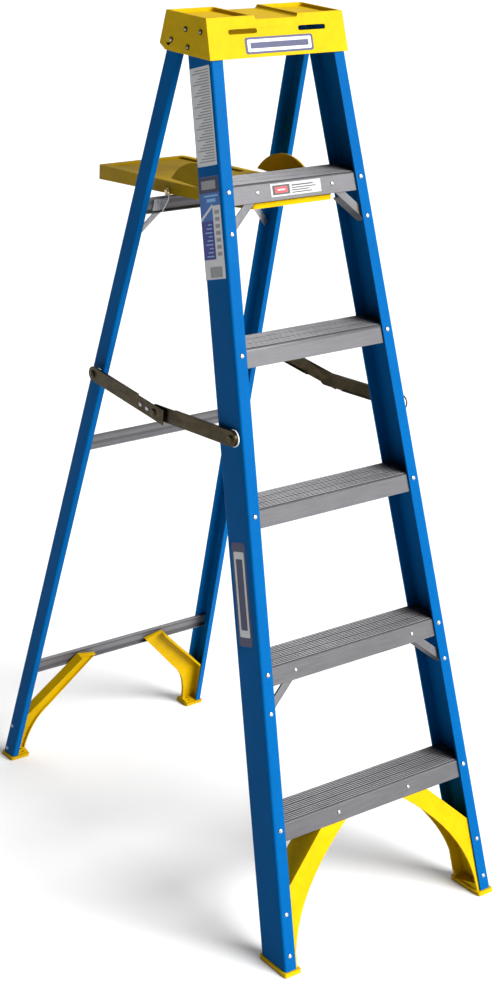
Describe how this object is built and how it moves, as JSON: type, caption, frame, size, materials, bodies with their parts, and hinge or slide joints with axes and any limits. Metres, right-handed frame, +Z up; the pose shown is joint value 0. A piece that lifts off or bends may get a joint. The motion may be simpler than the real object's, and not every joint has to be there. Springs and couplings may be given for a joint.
{
  "type": "step ladder",
  "caption": "Folding fibreglass step ladder with aluminium steps, a plastic top cap, a hinged rear frame, side spreaders and a pail shelf.",
  "frame": {"origin": "on the floor, under the middle of the open ladder's box", "axes": "+Z up; +X to the climber's right, across the steps; the steps face -Y"},
  "size_m": [0.559, 1.0688, 1.75],
  "materials": {
    "yellow_plastic": "moulded, lightly textured",
    "blue_fibreglass": "pultruded fibreglass, satin",
    "ribbed_aluminium": "extruded, satin",
    "zinc_steel": "zinc plated",
    "gold_steel": "yellow passivated zinc",
    "white_nylon": "moulded nylon"
  },
  "bodies": {
    "front_section": {"top_cap": "yellow_plastic", "front_rail_right": "blue_fibreglass", "front_rail_left": "blue_fibreglass", "step_1": "ribbed_aluminium", "step_2": "ribbed_aluminium", "step_3": "ribbed_aluminium", "step_4": "ribbed_aluminium", "step_5": "ribbed_aluminium", "step_1_rivet_right": "zinc_steel", "step_1_rivet_left": "zinc_steel", "step_2_rivet_right": "zinc_steel", "step_2_rivet_left": "zinc_steel", "step_3_rivet_right": "zinc_steel", "step_3_rivet_left": "zinc_steel", "step_4_rivet_right": "zinc_steel", "step_4_rivet_left": "zinc_steel", "step_5_rivet_right": "zinc_steel", "step_5_rivet_left": "zinc_steel", "step_2_knee_brace_right": "ribbed_aluminium", "step_2_knee_brace_left": "ribbed_aluminium", "step_5_knee_brace_right": "ribbed_aluminium", "step_5_knee_brace_left": "ribbed_aluminium", "front_foot_brace_right": "yellow_plastic", "front_foot_brace_left": "yellow_plastic", "cap_bolt_1_right": "zinc_steel", "cap_bolt_1_left": "zinc_steel", "cap_bolt_2_right": "zinc_steel", "cap_bolt_2_left": "zinc_steel", "cap_bolt_3_right": "zinc_steel", "cap_bolt_3_left": "zinc_steel", "rear_hinge_bolt_right": "zinc_steel", "rear_hinge_bolt_left": "zinc_steel", "spreader_washer_front_right": "white_nylon", "spreader_washer_front_left": "white_nylon", "spreader_pin_front_right": "gold_steel", "spreader_pin_front_left": "gold_steel"},
    "rear_frame": {"rear_rail_right": "blue_fibreglass", "rear_rail_left": "blue_fibreglass", "rear_brace_bottom": "ribbed_aluminium", "rear_brace_middle": "ribbed_aluminium", "rear_brace_top": "ribbed_aluminium", "rear_foot_brace_right": "yellow_plastic", "rear_foot_brace_left": "yellow_plastic", "shelf_bracket_right": "zinc_steel", "shelf_bracket_left": "zinc_steel", "shelf_knee_strap_right": "zinc_steel", "shelf_knee_strap_left": "zinc_steel", "shelf_pin_right": "gold_steel", "shelf_pin_left": "gold_steel", "spreader_spacer_rear_right": "white_nylon", "spreader_spacer_rear_left": "white_nylon", "spreader_pin_rear_right": "gold_steel", "spreader_pin_rear_left": "gold_steel"},
    "shelf": {"pail_shelf": "yellow_plastic"},
    "spreader_front_right": {"spreader_front_link_right": "gold_steel"},
    "spreader_front_left": {"spreader_front_link_left": "gold_steel"},
    "spreader_rear_right": {"spreader_rear_link_right": "gold_steel", "spreader_knee_rivet_right": "zinc_steel"},
    "spreader_rear_left": {"spreader_rear_link_left": "gold_steel", "spreader_knee_rivet_left": "zinc_steel"}
  },
  "joints": [
    {"name": "rear_frame_fold", "type": "hinge", "parent": "front_section", "child": "rear_frame", "pos_m": [0, 0.0933, 1.697], "axis": [-1, 0, 0], "range_deg": [0, 30.7]},
    {"name": "shelf_fold", "type": "hinge", "parent": "rear_frame", "child": "shelf", "pos_m": [0, 0.1657, 1.386], "axis": [1, 0, 0], "range_deg": [0, 110.6]},
    {"name": "spreader_front_right_fold", "type": "hinge", "parent": "front_section", "child": "spreader_front_right", "pos_m": [0.21, -0.2075, 0.998], "axis": [1, 0, 0], "range_deg": [0, 78.4]},
    {"name": "spreader_front_left_fold", "type": "hinge", "parent": "front_section", "child": "spreader_front_left", "pos_m": [-0.21, -0.2075, 0.998], "axis": [1, 0, 0], "range_deg": [0, 78.4]},
    {"name": "spreader_rear_right_fold", "type": "hinge", "parent": "rear_frame", "child": "spreader_rear_right", "pos_m": [0.21, 0.2534, 0.9983], "axis": [-1, 0, 0], "range_deg": [0, 60.4]},
    {"name": "spreader_rear_left_fold", "type": "hinge", "parent": "rear_frame", "child": "spreader_rear_left", "pos_m": [-0.21, 0.2534, 0.9983], "axis": [-1, 0, 0], "range_deg": [0, 60.4]}
  ],
  "couplings": [
    {"joint": "shelf_fold", "follows": "rear_frame_fold", "ratio": 3.6},
    {"joint": "spreader_front_right_fold", "follows": "rear_frame_fold", "ratio": 2.5494},
    {"joint": "spreader_front_left_fold", "follows": "rear_frame_fold", "ratio": 2.5494},
    {"joint": "spreader_rear_right_fold", "follows": "rear_frame_fold", "ratio": 1.9627},
    {"joint": "spreader_rear_left_fold", "follows": "rear_frame_fold", "ratio": 1.9627}
  ]
}
